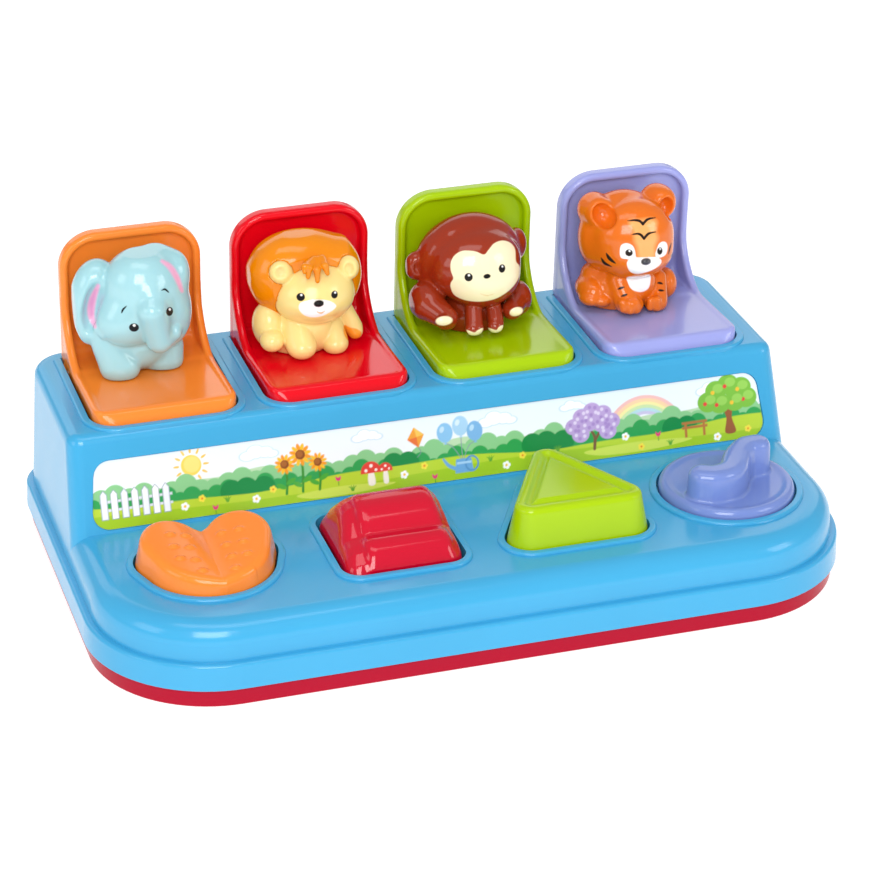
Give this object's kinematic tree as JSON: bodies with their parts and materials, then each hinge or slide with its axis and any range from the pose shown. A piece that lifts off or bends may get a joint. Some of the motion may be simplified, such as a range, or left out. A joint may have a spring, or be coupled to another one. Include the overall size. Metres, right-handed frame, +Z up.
{
  "type": "pop up animal toy",
  "caption": "Baby activity toy: a row of pop-up seats carrying animal figures behind a push heart, a rocker, a push triangle and a swirl dial.",
  "frame": {"origin": "centre of the rest face, on the table", "axes": "+X to the right along the row of seats, +Y to the back, +Z up; the controls face -Y"},
  "size_m": [0.3044, 0.1822, 0.1252],
  "materials": {
    "blue_abs": "glossy",
    "red_abs": "glossy",
    "print": "satin",
    "steel": "polished",
    "orange_abs": "glossy",
    "crimson_abs": "glossy",
    "lime_abs": "glossy",
    "lavender_abs": "glossy",
    "mint_abs": "glossy",
    "cream_abs": "glossy",
    "mane_abs": "glossy",
    "brown_abs": "glossy",
    "tiger_abs": "glossy",
    "white_pom": "satin"
  },
  "bodies": {
    "housing": {"top_housing": "blue_abs", "base_plate": "red_abs", "picture_label": "print", "housing_screws": "steel", "hinge_pins": "steel", "rocker_pin": "steel", "rocker_spring": "steel", "dial_spring": "steel", "heart_spring": "steel", "triangle_spring": "steel"},
    "heart_push": {"heart_button": "orange_abs"},
    "heart_bar": {"heart_latch": "white_pom"},
    "rocker": {"ribbed_rocker": "crimson_abs"},
    "rocker_bar": {"rocker_latch": "white_pom"},
    "triangle_push": {"triangle_button": "lime_abs"},
    "triangle_bar": {"triangle_latch": "white_pom"},
    "dial": {"swirl_dial": "lavender_abs", "dial_crank": "white_pom", "dial_screw": "steel"},
    "dial_bar": {"dial_latch": "white_pom"},
    "elephant_popup": {"elephant_lid": "orange_abs", "elephant_screws": "steel", "elephant_spring": "steel", "elephant_figure": "mint_abs"},
    "lion_popup": {"lion_lid": "crimson_abs", "lion_screws": "steel", "lion_spring": "steel", "lion_body": "cream_abs", "lion_mane": "mane_abs"},
    "monkey_popup": {"monkey_lid": "lime_abs", "monkey_screws": "steel", "monkey_spring": "steel", "monkey_figure": "brown_abs"},
    "tiger_popup": {"tiger_lid": "lavender_abs", "tiger_screws": "steel", "tiger_spring": "steel", "tiger_figure": "tiger_abs"}
  },
  "joints": [
    {"name": "elephant_hinge", "type": "hinge", "parent": "housing", "child": "elephant_popup", "pos_m": [-0.105, 0.0704, 0.066], "axis": [1, 0, 0], "range_deg": [0, 86.5], "stiffness_Nm_per_rad": 0.02, "springref_deg": -34.38},
    {"name": "lion_hinge", "type": "hinge", "parent": "housing", "child": "lion_popup", "pos_m": [-0.035, 0.0704, 0.066], "axis": [1, 0, 0], "range_deg": [0, 86.5], "stiffness_Nm_per_rad": 0.02, "springref_deg": -34.38},
    {"name": "monkey_hinge", "type": "hinge", "parent": "housing", "child": "monkey_popup", "pos_m": [0.035, 0.0704, 0.066], "axis": [1, 0, 0], "range_deg": [0, 86.5], "stiffness_Nm_per_rad": 0.02, "springref_deg": -34.38},
    {"name": "tiger_hinge", "type": "hinge", "parent": "housing", "child": "tiger_popup", "pos_m": [0.105, 0.0704, 0.066], "axis": [1, 0, 0], "range_deg": [0, 86.5], "stiffness_Nm_per_rad": 0.02, "springref_deg": -34.38},
    {"name": "heart_press", "type": "slide", "parent": "housing", "child": "heart_push", "axis": [0, 0, -1], "range_m": [0, 0.006], "stiffness_N_per_m": 300, "springref_m": -0.003, "deforming": ["heart_spring"]},
    {"name": "heart_latch_slide", "type": "slide", "parent": "housing", "child": "heart_bar", "axis": [0, -1, 0], "range_m": [0, 0.0031]},
    {"name": "rocker_tilt", "type": "hinge", "parent": "housing", "child": "rocker", "pos_m": [-0.03175, -0.0614, 0.0276], "axis": [1, 0, 0], "range_deg": [-12, 0], "stiffness_Nm_per_rad": 0.25, "springref_deg": 8.59},
    {"name": "rocker_latch_slide", "type": "slide", "parent": "housing", "child": "rocker_bar", "axis": [0, -1, 0], "range_m": [0, 0.0031]},
    {"name": "triangle_press", "type": "slide", "parent": "housing", "child": "triangle_push", "axis": [0, 0, -1], "range_m": [0, 0.006], "stiffness_N_per_m": 300, "springref_m": -0.003, "deforming": ["triangle_spring"]},
    {"name": "triangle_latch_slide", "type": "slide", "parent": "housing", "child": "triangle_bar", "axis": [0, -1, 0], "range_m": [0, 0.0031]},
    {"name": "dial_turn", "type": "hinge", "parent": "housing", "child": "dial", "pos_m": [0.1076, -0.0416, 0.034], "axis": [0, 0, 1], "range_deg": [-40, 0], "stiffness_Nm_per_rad": 0.03, "springref_deg": 11.46},
    {"name": "dial_latch_slide", "type": "slide", "parent": "housing", "child": "dial_bar", "axis": [0, -1, 0], "range_m": [0, 0.0034]}
  ],
  "couplings": [
    {"joint": "heart_latch_slide", "follows": "heart_press", "ratio": 0.5},
    {"joint": "triangle_latch_slide", "follows": "triangle_press", "ratio": 0.5},
    {"joint": "rocker_latch_slide", "follows": "rocker_tilt", "m_per_rad": -0.014},
    {"joint": "dial_latch_slide", "follows": "dial_turn", "m_per_rad": -0.0046}
  ]
}
